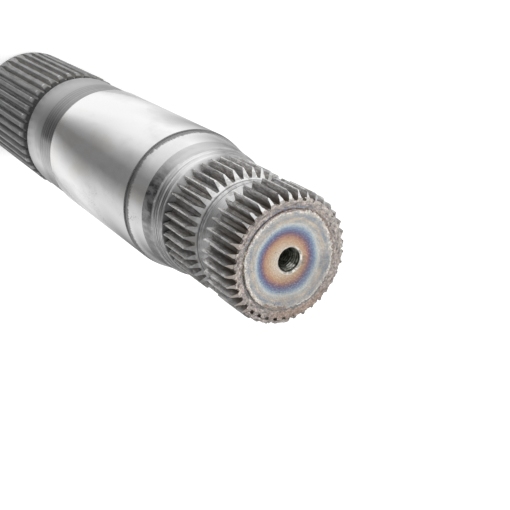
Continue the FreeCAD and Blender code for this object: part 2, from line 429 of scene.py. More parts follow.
def makeGroundSteel():
    material, add, place, flat, height, _ = startFinish("groundSteel", 1, 0.12)
    rings = add("Mapping", [place, None, None, (6, 6, ground["rings"])])
    rings = add("TexNoise", [rings, 1, 2])
    clouds = add("Mapping", [place, None, None, (1, 1, 0.5)])
    clouds = add("TexNoise", [clouds, ground["clouds"], 4])
    specks = add("TexNoise", [place, ground["specks"], 2])
    cloudy = add("MapRange", [clouds, 0.48, 0.66, 0, 0.6], **soft)
    tone = add("Mix", [cloudy, ground["color"], ground["dullAndShade"]], **blend)
    tint = add("Math", [add("MapRange", [clouds, 0.46, 0.36, 0, 0.3], **soft),
                        addSide(add, flat, *ground["strawSide"])], **times)
    tone = add("Mix", [tint, tone, ground["straw"]], **blend)
    pits = add("Math", [add("MapRange", [specks, 0.56, 0.64, 0, 0.75], **soft),
                        add("MapRange", [clouds, 0.5, 0.6, 0, 1], **soft)], **times)
    pits = add("Math", [pits, addSide(add, flat, *ground["pitSide"])], **times)
    few, many = ground["pitsFrom"]
    pits = add("Math", [pits, add("MapRange", [height, few * mm, many * mm, 0.15, 1])], **times)
    tone = add("Mix", [pits, tone, ground["pit"]], **blend)
    # metal torn along the undercut's upper edge, deepest on two sides of the shaft
    torn = add("Mapping", [place, None, None, (1, 1, 0.3)])
    torn = add("Math", [add("TexNoise", [torn, ground["torn"], 4, 0.65]), 0.5], **minus)
    away = add("Math", [height, ground["undercut"] * mm], **minus)
    above = add("MapRange", [away, -0.1 * mm, 0.1 * mm, 0, 1])
    clear = add("Math", [away, 1 * mm], **minus)
    scored = 0
    for turn, reach in ground["tears"]:
        past = add("Math", [addSide(add, flat, turn, 0.3, 0.95), -reach * mm, clear], **timesPlus)
        past = add("Math", [torn, -3.2 * mm, past], **timesPlus)
        here = add("MapRange", [past, 0.9 * mm, -0.4 * mm, 0, 0.8], **soft)
        scored = add("Math", [add("Math", [here, above], **times), scored], **larger)
    tone = add("Mix", [scored, tone, ground["scored"]], **blend)
    rough = add("Math", [scored, 0.3, add("MapRange", [rings, 0.3, 0.7, 0.1, 0.15])], **timesPlus)
    bump = add("Bump", [0.06, 0.02 * mm, None, rings])
    return endFinish(material, {"Base Color": tone, "Roughness": rough, "Normal": bump})


# Turned shoulder, undercut and neck: dull steel off the lathe. The real feed is about
# 0.25 mm a turn, and its rings are drawn coarser so that they show.
turned = {
    "ringDark": "#9c9c9c",
    "ringMid": "#bdbdbd",
    "ringLight": "#e2e2e2",
    "stepPaintedHighlight": "#f7f7f7",
    "stepPaintedHighlightSide": (-26, 0.8, 1),
    "stepPaintedShadeSide": (10, 0.8, 1),
    "stepFeet": (212.8, 216.0),
    "stepFeetPaintedShadeSide": (18, 0.5, 0.95),
    "cone": "#a4a4a4",
    "coneHeights": (204, 213.8),
    "coneLightAndHighlight": "#d3d3d3",
    "conePaintedHighlightSide": (-38, 0.72, 0.98),
    "shoulderPaintedShade": "#525252",
    "coneFrontPaintedShadeSide": (7, 0.78, 1),
    "shoulderShadeSide": (92, 0.6, 0.98),
    "neck": "#929292",
    "neckLit": "#e6e6e6",
    "neckLitSide": (44, 0.55, 0.97),
    "neckShade": "#5c5c5c",
    "neckShadeSide": (84, 0.84, 0.99),
    "scored": "#8d8d8d",
    "scoredSide": (-20, 0.68, 0.78),
    "scoredHeights": (94.5, 109.5),
    "line": "#484848",
    "toolLines": (95.3, 97.8, 100.3, 102.6, 105.1, 107.4),  # heights on the neck
    "toolLine": 0.35,                                       # half the width of one
    "undercut": "#747474",
    "undercutHeights": (190, 198),
    "sootAndShade": "#454545",
    "sootAndShadeSide": (65, 0.1, 0.85),
    "rings": 1300,    # 0.8 mm
    "wander": 40,     # 25 mm
    "ripples": 170,   # 6 mm
    "stains": 260,    # 4 mm
    "clouds": 90,     # 11 mm
}


def makeTurnedSteel():
    material, add, place, flat, height, radius = startFinish("turnedSteel", 1, 0.34)
    # the rings wander a little in height as they go round, and are rippled on the shoulder
    wander = add("TexNoise", [place, turned["wander"], 2, 0.5])
    wander = add("Math", [wander, 3 * mm, height], **timesPlus)
    ripple = add("TexNoise", [place, turned["ripples"], 3, 0.6])
    rippled = add("MapRange", [height, 190 * mm, 200 * mm, 0, 2.2 * mm])
    wander = add("Math", [ripple, rippled, wander], **timesPlus)
    rings = add("TexNoise", [wander, turned["rings"], 3, 0.5], noise_dimensions="1D")
    stain = add("Mapping", [place, None, None, (1, 1, 0.5)])
    stain = add("TexNoise", [stain, turned["stains"], 6, 0.66])
    cloud = add("TexNoise", [place, turned["clouds"], 2])
    tone = add("ValToRGB", [rings], [
        (0.36, turned["ringDark"]), (0.5, turned["ringMid"]), (0.62, turned["ringLight"]),
    ])
    # painted shade on the front of the steps and a painted highlight beside it, with a ragged line
    # of painted shade at each foot
    frontPaintedShade = addSide(add, flat, *turned["stepPaintedShadeSide"])
    bright = addSide(add, flat, *turned["stepPaintedHighlightSide"])
    tone = add("Mix", [add("Math", [frontPaintedShade, 0.5], **times), tone, turned["shoulderPaintedShade"]], **blend)
    tone = add("Mix", [add("Math", [bright, 0.75], **times), tone, turned["stepPaintedHighlight"]], **blend)
    ragged = add("Math", [stain, 1.2 * mm, height], **timesPlus)
    for at in turned["stepFeet"]:
        footPaintedShade = add("Math", [addBand(add, ragged, at - 0.1, at + 0.2, 0.3),
                            addSide(add, flat, *turned["stepFeetPaintedShadeSide"])], **times)
        tone = add("Mix", [add("Math", [footPaintedShade, 0.8], **times), tone, turned["line"]], **blend)
    # the neck is smoother, with tool lines in its dull half
    lit = addSide(add, flat, *turned["neckLitSide"])
    neck = add("Mix", [lit, turned["neck"], turned["neckLit"]], **blend)
    shaded = add("Math", [addSide(add, flat, *turned["neckShadeSide"]), 0.85], **times)
    neck = add("Mix", [shaded, neck, turned["neckShade"]], **blend)
    dullSide = addSide(add, flat, *turned["scoredSide"])
    dullAndShade = add("Math", [addBand(add, height, *turned["scoredHeights"], 2),
                        add("MapRange", [dullSide, 0, 1, 0.15, 0.85])], **times)
    neck = add("Mix", [dullAndShade, neck, turned["scored"]], **blend)
    half = turned["toolLine"]
    for at in turned["toolLines"]:
        line = add("Math", [addBand(add, height, at - half, at + half, 0.4),
                            add("MapRange", [dullSide, 0, 1, 0.25, 0.85])], **times)
        neck = add("Mix", [line, neck, turned["line"]], **blend)
    fineLine = add("Math", [add("MapRange", [rings, 0.48, 0.56, 0, 0.9], **soft), dullAndShade], **times)
    neck = add("Mix", [fineLine, neck, turned["line"]], **blend)
    neck = add("Mix", [0.25, neck, tone], **blend)
    isNeck = add("MapRange", [height, 120 * mm, 130 * mm, 1, 0])
    tone = add("Mix", [isNeck, tone, neck], **blend)
    # rough dark cone with mottled stains, darkened at the front by painted shade and lightened on
    # one side by a painted highlight
    rough = add("ValToRGB", [stain], [(0.36, turned["coneLightAndHighlight"]), (0.62, turned["cone"])])
    conePaintedHighlight = addSide(add, flat, *turned["conePaintedHighlightSide"])
    rough = add("Mix", [conePaintedHighlight, rough, turned["coneLightAndHighlight"]], **blend)
    dark = add("Math", [addSide(add, flat, *turned["coneFrontPaintedShadeSide"]), 0.75, 0.22], **timesPlus)
    dark = add("Math", [dark, add("MapRange", [stain, 0.4, 0.6, 0.55, 1.1], **soft)], **times)
    dark = add("Math", [dark, add("MapRange", [conePaintedHighlight, 0, 1, 1, 0.15])], **times)
    rough = add("Mix", [dark, rough, turned["shoulderPaintedShade"]], **blend)
    edge = add("Math", [stain, 2.2 * mm, height], **timesPlus)
    isCone = addBand(add, edge, *turned["coneHeights"], 0.4)
    tone = add("Mix", [isCone, tone, rough], **blend)
    # painted shade over the shoulder on one side, deeper towards its top
    shade = add("Math", [addSide(add, flat, *turned["shoulderShadeSide"]),
                         add("MapRange", [height, 200 * mm, 210 * mm, 0, 0.45])], **times)
    tone = add("Mix", [shade, tone, turned["shoulderPaintedShade"]], **blend)
    undercut = add("Math", [addBand(add, height, *turned["undercutHeights"], 1), 0.7], **times)
    tone = add("Mix", [undercut, tone, turned["undercut"]], **blend)
    cloudy = add("MapRange", [cloud, 0.5, 0.62, 0, 0.25], **soft)
    tone = add("Mix", [cloudy, tone, turned["ringDark"]], **blend)
    # painted shade on the wall and corner between the lip and the teeth, deepest on one side
    corner = add("Math", [add("MapRange", [radius, 25.2 * mm, 24.6 * mm, 0, 0.95]),
                          add("MapRange", [height, 218.2 * mm, 218.5 * mm, 0, 1])], **times)
    cornerShadeSide = add("MapRange", [addSide(add, flat, *turned["sootAndShadeSide"]), 0, 1, 0.2, 1])
    tone = add("Mix", [add("Math", [corner, cornerShadeSide], **times), tone, turned["sootAndShade"]], **blend)
    pitted = addBand(add, height, turned["coneHeights"][0], 212.4, 0.4)
    relief = add("Mix", [pitted, rings, stain], data_type="FLOAT")
    bump = add("Bump", [0.3, 0.1 * mm, None, relief])
    return endFinish(material, {"Base Color": tone, "Normal": bump})


# Clamp groove, ramps and chamfers: a finer tool left them bright. Towards one side the
# end is brown with scale. These rings too are drawn coarser than they are.
fine = {
    "groove": "#b1b1b1",
    "grooveLight": "#cacaca",
    "toolLines": (239.6, 242.3),
    "line": "#484848",
    "brightAndHighlight": "#f5f5f5",
    "rampPaintedHighlightSide": (-46, 0.72, 0.95),
    "rampPaintedShade": "#797979",
    "rampPaintedShadeSide": (55, 0.35, 0.85),
    "ridgeHeights": (240.2, 241.1),
    "stain": "#8e8b88",
    "scale": "#a89f98",
    "scaleSide": (128, -0.75, -0.35),
    "rings": 2200,    # 0.5 mm
    "stains": 300,    # 3 mm
}


def makeFineTurnedSteel():
    material, add, place, flat, height, _ = startFinish("fineTurnedSteel", 1, 0.34)
    rings = add("Mapping", [place, None, None, (8, 8, fine["rings"])])
    rings = add("TexNoise", [rings, 1, 2])
    stain = add("TexNoise", [place, fine["stains"], 4, 0.65])
    tone = add("ValToRGB", [rings], [(0.4, fine["groove"]), (0.56, fine["grooveLight"])])
    # painted shade on one side of the ramp up to the inner band, and a painted highlight beside
    # it, full on the ramps and chamfer and weaker over the groove
    inner = add("MapRange", [height, 240.6 * mm, 239.6 * mm, 0, 1])
    dullAndShade = add("Math", [inner, addSide(add, flat, *fine["rampPaintedShadeSide"])], **times)
    dullAndShade = add("Math", [dullAndShade, add("MapRange", [stain, 0.4, 0.56, 0.65, 1], **soft)], **times)
    tone = add("Mix", [dullAndShade, tone, fine["rampPaintedShade"]], **blend)
    slope = add("Math", [add("MapRange", [height, 240 * mm, 239.2 * mm, 0, 1]),
                         add("MapRange", [height, 260 * mm, 262 * mm, 0, 1])], **larger)
    bright = add("Math", [add("Math", [slope, 0.6], **larger),
                          addSide(add, flat, *fine["rampPaintedHighlightSide"])], **times)
    tone = add("Mix", [bright, tone, fine["brightAndHighlight"]], **blend)
    stained = add("MapRange", [stain, 0.52, 0.6, 0, 0.45], **soft)
    tone = add("Mix", [stained, tone, fine["stain"]], **blend)
    ridge = add("Math", [addBand(add, height, *fine["ridgeHeights"], 0.3), 0.75], **times)
    tone = add("Mix", [ridge, tone, fine["brightAndHighlight"]], **blend)
    for at in fine["toolLines"]:
        line = add("Math", [addBand(add, height, at - 0.2, at + 0.2, 0.2), 0.8], **times)
        tone = add("Mix", [line, tone, fine["line"]], **blend)
    heated = add("Math", [add("MapRange", [height, 262 * mm, 265 * mm, 0, 1]),
                          addSide(add, flat, *fine["scaleSide"])], **times)
    heated = add("Math", [heated, add("MapRange", [stain, 0.3, 0.5, 0.55, 1], **soft)], **times)
    tone = add("Mix", [heated, tone, fine["scale"]], **blend)
    bump = add("Bump", [0.2, 0.06 * mm, None, rings])
    return endFinish(material, {"Base Color": tone, "Normal": bump})


# Hobbed arm spline: cut by the hob and left with scale in the gaps, in streaks along the
# teeth, while the arm has worn the crests bright. Painted shade also darkens the gaps, and
# a painted highlight lights the crests.
hobbed = {
    "gap": "#a8a5a2",
    "low": "#b0adab",
    "flank": "#c0bebd",
    "high": "#d6d4d3",
    "crest": "#faf9f9",
    "cool": "#a4abb6",
    "brown": "#aaa39b",
    "shade": "#777472",
    "innerBandPaintedShadeSide": (60, 0.3, 0.95),
    "smear": "#efeeed",
    "smearHeights": [(249, 255.5, 3), (218, 221.2, 1.5)],  # from, to, how softly
    "dirt": "#685a4d",
    "streaks": 1100,  # 0.9 mm
    "patches": 170,   # 6 mm
    "mottle": 700,    # 1.4 mm
}


def makeHobbedSteel():
    material, add, place, flat, height, radius = startFinish("hobbedSteel", 1, 0.5)
    streaks = add("Mapping", [place, None, None, (1, 1, 0.22)])
    streaks = add("TexNoise", [streaks, hobbed["streaks"], 5, 0.65])
    patches = add("Mapping", [place, None, None, (1, 1, 0.5)])
    patches = add("TexNoise", [patches, hobbed["patches"], 2])
    # from the gap's floor to the crest, with ragged limits; painted shade deepens the gaps
    # and a painted highlight lights the crests
    wander = add("Math", [patches, 1.4 * mm, radius], **timesPlus)
    wander = add("Math", [streaks, 4.5 * mm, wander], **timesPlus)
    level = add("MapRange", [wander, 24.15 * mm, 28.15 * mm, 0, 1])
    tone = add("ValToRGB", [level], [
        (0.0, hobbed["gap"]), (0.15, hobbed["gap"]), (0.42, hobbed["low"]),
        (0.66, hobbed["flank"]), (0.86, hobbed["high"]), (0.97, hobbed["crest"]),
    ])
    tint = add("ValToRGB", [patches], [
        (0.4, hobbed["cool"]), (0.5, hobbed["flank"]), (0.6, hobbed["brown"]),
    ])
    tone = add("Mix", [0.3, tone, tint], blend_type="OVERLAY", **blend)
    streaked = add("MapRange", [streaks, 0.5, 0.6, 0, 0.65], **soft)
    tone = add("Mix", [streaked, tone, hobbed["shade"]], **blend)
    # painted glints: bright streaks, strongest towards the crests
    glint = add("Math", [add("MapRange", [streaks, 0.48, 0.4, 0, 0.8], **soft),
                         add("MapRange", [radius, 22 * mm, 23.6 * mm, 0.25, 1])], **times)
    tone = add("Mix", [glint, tone, hobbed["smear"]], **blend)
    mottle = add("TexNoise", [place, hobbed["mottle"], 3, 0.6])
    mottled = add("MapRange", [mottle, 0.5, 0.62, 0, 0.32], **soft)
    tone = add("Mix", [mottled, tone, hobbed["shade"]], **blend)
    # painted shade over the inner band on one side and in the outer band's gaps, brown at the face
    innerBandPaintedShade = add("Math", [addSide(add, flat, *hobbed["innerBandPaintedShadeSide"]),
                         add("MapRange", [height, 245 * mm, 240 * mm, 0, 0.25])], **times)
    tone = add("Mix", [innerBandPaintedShade, tone, hobbed["shade"]], **blend)
    outerGapPaintedShade = add("Math", [add("MapRange", [height, 245 * mm, 250 * mm, 0, 1]),
                        add("MapRange", [radius, 24.8 * mm, 23.6 * mm, 0, 0.35])], **times)
    tone = add("Mix", [outerGapPaintedShade, tone, hobbed["shade"]], **blend)
    burnt = add("Math", [add("MapRange", [height, 258 * mm, 267 * mm, 0, 0.7]),
                         add("MapRange", [radius, 23.8 * mm, 22.5 * mm, 0, 1])], **times)
    tone = add("Mix", [burnt, tone, hobbed["dirt"]], **blend)
    # metal smeared over the back end of each band of teeth
    outerEnd, innerEnd = [addBand(add, height, *band) for band in hobbed["smearHeights"]]
    back = add("Math", [outerEnd, innerEnd], **larger)
    smear = add("Math", [back, add("MapRange", [streaks, 0.54, 0.44, 0, 0.65], **soft)], **times)
    outer = add("MapRange", [radius, 22.8 * mm, 24.5 * mm, 0.3, 1], **soft)
    tone = add("Mix", [add("Math", [smear, outer], **times), tone, hobbed["smear"]], **blend)
    rough = add("MapRange", [radius, 24.2 * mm, 24.9 * mm, 0.52, 0.32])
    bump = add("Bump", [0.7, 0.18 * mm, None, streaks])
    return endFinish(material, {"Base Color": tone, "Roughness": rough, "Normal": bump})


# Blackened drive spline and relief: hardening scale in streaks along the teeth, rubbed
# back to grey on the crests.
blackened = {
    "gap": "#939393",
    "flank": "#999999",
    "crest": "#a1a1a1",
    "farGapPaintedLight": "#b0b0b0",
    "gapPaintedLight": "#c6c3bf",
    "gapPaintedLightSide": (-62, 0.5, 0.92),
    "scale": "#5a5a5a",
    "end": "#424242",
    "relief": "#a6a6a6",
    "tip": "#eeeeee",
    "tipHighlightHeights": (66.2, 67.6),
    "streaks": 420,   # 2.4 mm
}


def makeBlackenedSteel():
    material, add, place, flat, height, radius = startFinish("blackenedSteel", 1, 0.5)
    streaks = add("Mapping", [place, None, None, (1, 1, 0.2)])
    streaks = add("TexNoise", [streaks, blackened["streaks"], 4, 0.6])
    level = add("MapRange", [radius, 27.2 * mm, 30.2 * mm, 0, 1])
    tone = add("ValToRGB", [level], [
        (0.1, blackened["gap"]), (0.6, blackened["flank"]), (0.85, blackened["crest"]),
    ])
    # painted light lifts the gaps towards the far end and on one side
    far = add("Math", [add("MapRange", [height, 50 * mm, 20 * mm, 0, 0.5]),
                       add("MapRange", [radius, 29 * mm, 28 * mm, 0, 1])], **times)
    tone = add("Mix", [far, tone, blackened["farGapPaintedLight"]], **blend)
    sideGapPaintedLight = add("Math", [addSide(add, flat, *blackened["gapPaintedLightSide"]),
                         add("MapRange", [radius, 29.7 * mm, 28.8 * mm, 0, 0.65])], **times)
    tone = add("Mix", [sideGapPaintedLight, tone, blackened["gapPaintedLight"]], **blend)
    scaled = add("MapRange", [streaks, 0.48, 0.6, 0, 0.35], **soft)
    tone = add("Mix", [scaled, tone, blackened["scale"]], **blend)
    # painted shade at the foot of the teeth by the relief, a paler relief corner, and painted
    # highlights on the crests just below
    # painted shade at the foot of the teeth
    end = add("MapRange", [height, 68.8 * mm, 70 * mm, 0, 0.9])
    tone = add("Mix", [end, tone, blackened["end"]], **blend)
    isRelief = add("MapRange", [height, 72.5 * mm, 73.5 * mm, 0, 0.9])
    tone = add("Mix", [isRelief, tone, blackened["relief"]], **blend)
    # painted highlights on the crests where they end by the relief
    tip = add("Math", [addBand(add, height, *blackened["tipHighlightHeights"], 0.6),
                       add("MapRange", [radius, 29.3 * mm, 29.7 * mm, 0, 0.65])], **times)
    tip = add("Math", [tip, add("MapRange", [streaks, 0.42, 0.56, 1, 0.2], **soft)], **times)
    tone = add("Mix", [tip, tone, blackened["tip"]], **blend)
    bump = add("Bump", [0.2, 0.1 * mm, None, streaks])
    return endFinish(material, {"Base Color": tone, "Normal": bump})


# Faced arm end: the heat of welding or cutting near the hole has run outwards through
# the temper colours, straw by the hole, then purple, blue and bare steel. The rim is
# crusted with brownish scale in faint circles.
tempered = {
    "rings": [  # radius, colour
        (4.4, "#d8cab9"), (5.6, "#d2bda5"), (6.8, "#ccac8e"), (7.8, "#c39c7e"),
        (8.7, "#ae8173"), (9.5, "#886a77"), (10.3, "#6e6788"), (11.2, "#6f7ea3"),
        (12.0, "#8a9eb6"), (12.8, "#b7c5cd"), (13.5, "#d4d4ce"), (14.4, "#c0beb9"),
        (15.1, "#d2bda5"), (15.7, "#adabaa"), (16.4, "#8b98a8"), (17.0, "#b9b8b5"),
        (17.6, "#cbc5bd"), (18.1, "#e9dfd2"), (18.4, "#b9aca1"), (18.7, "#89817b"),
        (19.2, "#938a83"),
    ],
    "reach": 25,             # radius where the ramp of the rings ends
    "hotSide": (1.25, 0.4),  # how far off centre the inner rings lie
    "crust": [               # level of the noise, colour
        (0.42, "#6e6864"), (0.452, "#8d8784"), (0.484, "#a39c99"), (0.516, "#b3aca8"),
        (0.548, "#bfa699"), (0.58, "#dfd9d3"),
    ],
    "patches": [(0.4, "#8f9ba8"), (0.47, "#aeb3b6"), (0.53, "#bdb7b0"), (0.6, "#ddd3c3")],
    "patchRadii": (13.6, 18.2),
    "edge": "#f6f2ea",
    "rimHighlightSide": (-90, 0.1, 0.95),
    "fleck": "#857b75",
    "spark": "#fffdf8",
    "crumbRadii": (17.4, 18.3),
    "sootAndShade": "#6d665f",
    "sootAndShadeSide": (150, 0.2, 1),
    "drift": 60,      # 17 mm
    "ragged": 800,    # 1.2 mm
    "grain": 2600,    # 0.4 mm
    "pits": 900,      # 1.1 mm
    "crumbs": 1150,   # 0.9 mm
    "streaks": 1500,  # 0.7 mm, running round the face
    # angle, its two cosines, inner and outer radius, colour, strength
    "marks": [
        (61, 0.2, 0.8, 18.75, 19.15, "#62655f", 0.75),
        (74, 0.82, 0.96, 18.8, 19.9, "#64696c", 0.65),
        (-29, 0.55, 0.85, 19.2, 19.8, "#7d8ca6", 0.7),
        (-83, 0.3, 0.7, 18.4, 18.9, "#876f66", 0.65),
        (152, 0.75, 0.9, 18.1, 18.8, "#526173", 0.75),
        (108, 0.93, 0.98, 17.5, 18.4, "#876b5c", 0.85),
        (-156, 0.97, 0.99, 14.2, 17.6, "#838d96", 0.6),
        (140, 0.75, 0.97, 19.6, 22.5, "#b98e70", 0.45),
        (-152, 0.93, 0.985, 5.6, 8.0, "#6d665f", 0.6),
    ],
}


def makeTemperedSteel():
    material, add, place, flat, _, radius = startFinish("temperedFace", 1, 0.33)
    drift = add("TexNoise", [place, tempered["drift"], 1])
    rag = add("TexNoise", [place, tempered["ragged"], 6, 0.72])
    grain = add("TexNoise", [place, tempered["grain"], 3, 0.6])
    pits = add("TexNoise", [place, tempered["pits"], 0])
    # long streaks that run round the face
    way = add("VectorMath", [flat], operation="NORMALIZE")
    outwards = add("Math", [radius, tempered["streaks"]], **times)
    outwards = add("CombineXYZ", [None, None, outwards])
    circle = add("VectorMath", [way, (9, 9, 9), outwards], **timesPlus)
    swirl = add("TexNoise", [circle, 1, 4, 0.65])
    # the rings: off centre by the hole, and wandering more and more towards the rim
    hotX, hotY = tempered["hotSide"]
    fade = add("MapRange", [radius, 10 * mm, 17.2 * mm, 1, 0], **soft)
    hot = add("VectorMath", [(hotX * mm, hotY * mm, 0), fade], operation="SCALE")
    out = add("VectorMath", [add("VectorMath", [flat, hot], **minus)], operation="LENGTH")
    out = add("Math", [add("Math", [drift, 0.5], **minus), 2.6 * mm, out], **timesPlus)
    swing = add("MapRange", [radius, 15 * mm, 17.8 * mm, 1 * mm, 3 * mm], **soft)
    out = add("Math", [add("Math", [rag, 0.5], **minus), swing, out], **timesPlus)
    drawn = add("MapRange", [radius, 14.5 * mm, 17.5 * mm, 0.8 * mm, 2.2 * mm], **soft)
    out = add("Math", [add("Math", [swirl, 0.5], **minus), drawn, out], **timesPlus)
    reach = tempered["reach"]
    tone = add("ValToRGB", [add("Math", [out, reach * mm], operation="DIVIDE")],
               [(at / reach, color) for at, color in tempered["rings"]])
    mixed = add("Math", [swirl, 0.55, add("Math", [rag, 0.45], **times)], **timesPlus)
    crust = add("ValToRGB", [mixed], tempered["crust"])
    crusted = add("MapRange", [out, 18.8 * mm, 19.4 * mm, 0, 1])
    tone = add("Mix", [crusted, tone, crust], **blend)
    # cool and warm patches over the outer half of the disc
    patch = add("ValToRGB", [add("TexNoise", [circle, 0.5, 5, 0.6])], tempered["patches"])
    patched = add("Math", [addBand(add, out, *tempered["patchRadii"], 0.6), 0.45], **times)
    tone = add("Mix", [patched, tone, patch], **blend)
    # bright crumbs on the ragged edge of the disc
    crumb = add("TexNoise", [place, tempered["crumbs"], 3, 0.7])
    crumbs = add("Math", [addBand(add, out, *tempered["crumbRadii"], 0.3),
                          add("MapRange", [crumb, 0.48, 0.55, 0, 0.75], **soft)], **times)
    tone = add("Mix", [crumbs, tone, tempered["spark"]], **blend)
    for turn, low, high, inner, outer, color, strength in tempered["marks"]:
        mark = add("Math", [addBand(add, out, inner, outer, 0.15),
                            addSide(add, flat, turn, low, high)], **times)
        mark = add("Math", [mark, add("MapRange", [rag, 0.38, 0.5, 0.6, 1], **soft)], **times)
        tone = add("Mix", [add("Math", [mark, strength], **times), tone, color], **blend)
    # painted highlight on one side of the rim
    rim = add("Math", [addSide(add, flat, *tempered["rimHighlightSide"]),
                       add("MapRange", [radius, 20.5 * mm, 22.4 * mm, 0, 0.4])], **times)
    tone = add("Mix", [rim, tone, tempered["edge"]], **blend)
    # soot, flecks, sparks and pits, and the bright edge of the hole
    sootAndShade = add("Math", [addSide(add, flat, *tempered["sootAndShadeSide"]),
                        add("MapRange", [drift, 0.3, 0.6, 0.15, 0.35])], **times)
    tone = add("Mix", [sootAndShade, tone, tempered["sootAndShade"]], **blend)
    flecks = add("MapRange", [grain, 0.48, 0.58, 0, 0.3], **soft)
    tone = add("Mix", [flecks, tone, tempered["fleck"]], **blend)
    sparks = add("MapRange", [grain, 0.46, 0.4, 0, 0.25], **soft)
    tone = add("Mix", [sparks, tone, tempered["spark"]], **blend)
    pitted = add("MapRange", [pits, 0.83, 0.86, 0, 0.8])
    tone = add("Mix", [pitted, tone, tempered["sootAndShade"]], **blend)
    lip = add("Math", [add("MapRange", [radius, 5.5 * mm, 5 * mm, 0, 1]),
                       add("MapRange", [rag, 0.4, 0.55, 1, 0.2])], **times)
    tone = add("Mix", [lip, tone, tempered["edge"]], **blend)
    rough = add("MapRange", [radius, 16.5 * mm, 19 * mm, 0.3, 0.42])
    relief = add("Math", [mixed, add("MapRange", [radius, 16 * mm, 18.5 * mm, 0.15, 1])], **times)
    bump = add("Bump", [0.5, 0.2 * mm, None, relief])
    return endFinish(material, {"Base Color": tone, "Roughness": rough, "Normal": bump})


# Tapped centre hole: oily and dark green, scraped bright on one side near its mouth.
bore = {
    "wall": "#4f5148",
    "grime": "#8b8c82",
    "edge": "#fbf6ee",
    "scraped": "#f2f1ea",
    "scrapedSide": (147, 0.84, 0.93),
    "blots": 520,     # 1.9 mm
}


def makeBoreSteel():
    material, add, place, flat, height, _ = startFinish("oiledBore", 1, 0.5)
    grime = add("TexNoise", [place, bore["blots"], 4, 0.6])
    grimy = add("MapRange", [grime, 0.42, 0.6, 0, 1], **soft)
    tone = add("Mix", [grimy, bore["wall"], bore["grime"]], **blend)
    depth = add("Math", [grime, -6 * mm, height], **timesPlus)
    scrape = add("Math", [addSide(add, flat, *bore["scrapedSide"]),
                          add("MapRange", [depth, 261.2 * mm, 261.8 * mm, 0, 1], **soft)], **times)
    scrape = add("Math", [scrape, add("MapRange", [grime, 0.47, 0.55, 1, 0.15], **soft)], **times)
    tone = add("Mix", [scrape, tone, bore["scraped"]], **blend)
    worn = add("MapRange", [grime, 0.4, 0.62, 1, 0.1], **soft)
    worn = add("Math", [worn, add("MapRange", [height, 268 * mm, 268.5 * mm, 0, 1])], **times)
    tone = add("Mix", [worn, tone, bore["edge"]], **blend)
    return endFinish(material, {"Base Color": tone})


finishes = {
    "ground": makeGroundSteel(),
    "turned": makeTurnedSteel(),
    "fine": makeFineTurnedSteel(),
    "hobbed": makeHobbedSteel(),
    "blackened": makeBlackenedSteel(),
    "tempered": makeTemperedSteel(),
    "bore": makeBoreSteel(),
}
# Where one finish ends and the next begins, as heights up the shaft where no note says
# otherwise
limits = {
    "boreRadius": 5.1,      # from the axis
    "bore": 240,
    "face": 268.3,
    "groove": (239.5, 250.1),
    "ramps": 234,
    "rampSlant": 0.4,       # how far a chamfer or ramp looks up, where 1 is straight up
    "armSpline": 219.3,
    "shoulder": 205.6,
    "undercut": (193.3, 195.2),
    "neck": (76.1, 109.9),
    "driveEnd": 76,
}


def chooseFinish(out, up, slant):
    if out < limits["boreRadius"] and up > limits["bore"]:
        return "bore"
    if up > limits["face"]:
        return "tempered"
    if limits["groove"][0] < up < limits["groove"][1]:
        return "fine"
    if up > limits["ramps"] and slant > limits["rampSlant"]:
        return "fine"
    if up > limits["armSpline"]:
        return "hobbed"
    if up > limits["shoulder"]:
        return "turned"
    for low, high in (limits["undercut"], limits["neck"]):
        if low < up < high:
            return "turned"
    return "ground" if up > limits["driveEnd"] else "blackened"


for finish in finishes.values():
    shaft.data.materials.append(finish)
slots = list(finishes)
for polygon in shaft.data.polygons:
    out = hypot(polygon.center.x, polygon.center.y) / mm
    up = polygon.center.z / mm
    polygon.material_index = slots.index(chooseFinish(out, up, polygon.normal.z))
print("finishes on", len(finishes))
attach(shaft, "root")
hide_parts("lift_arm_shaft")

# Metal hammered over the ends of the gaps, in two lumpy runs along the rim.
burrs = {
    "radius": 0.8,
    "corners": 12,
    "height": 267.75,
    "step": 1.5,         # degrees round the rim
    "grain": 1.3,
    "lumps": 1.6,
    "level": 0.55,
    "runs": {            # distance from the axis, first side, last side
        "rimBurrLong": (22.1, -231, -67),
        "rimBurrShort": (23.3, 82, 132),
    },
}


def rollBurr(name, reach, start, end):
    steps = round((end - start) / burrs["step"])
    sweep = radians(end - start)
    deselectAll()
    bpy.ops.mesh.primitive_circle_add(
        vertices=burrs["corners"], radius=burrs["radius"] * mm,
        location=(reach * mm, 0, burrs["height"] * mm), rotation=(pi / 2, 0, 0),
    )
    burr = bpy.context.object
    burr.name = name
    bpy.ops.object.transform_apply(location=True, rotation=True, scale=True)
    bpy.ops.object.mode_set(mode="EDIT")
    bpy.ops.mesh.select_mode(type="VERT")
    bpy.ops.mesh.select_all(action="SELECT")
    bpy.ops.mesh.spin(steps=steps, angle=sweep, center=(0, 0, 0), axis=(0, 0, -1))
    for turn in (0, sweep):  # each end closes to a point
        pick(burr, lambda place: abs(place.y * cos(turn) - place.x * sin(turn)) < hair
             and place.x * cos(turn) + place.y * sin(turn) > 0)
        bpy.ops.mesh.merge(type="CENTER")
    faceOutwards()
    bpy.ops.object.mode_set(mode="OBJECT")
    turnPiece(burr, start)
    roughen(burr, name + "Lumps", burrs["grain"], burrs["lumps"], burrs["level"])
    bpy.ops.object.shade_smooth()
    burr.data.materials.append(finishes["tempered"])
    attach(burr, "root")


for name, (reach, start, end) in burrs["runs"].items():
    rollBurr(name, reach, start, end)
print("burrs rolled", len(burrs["runs"]))

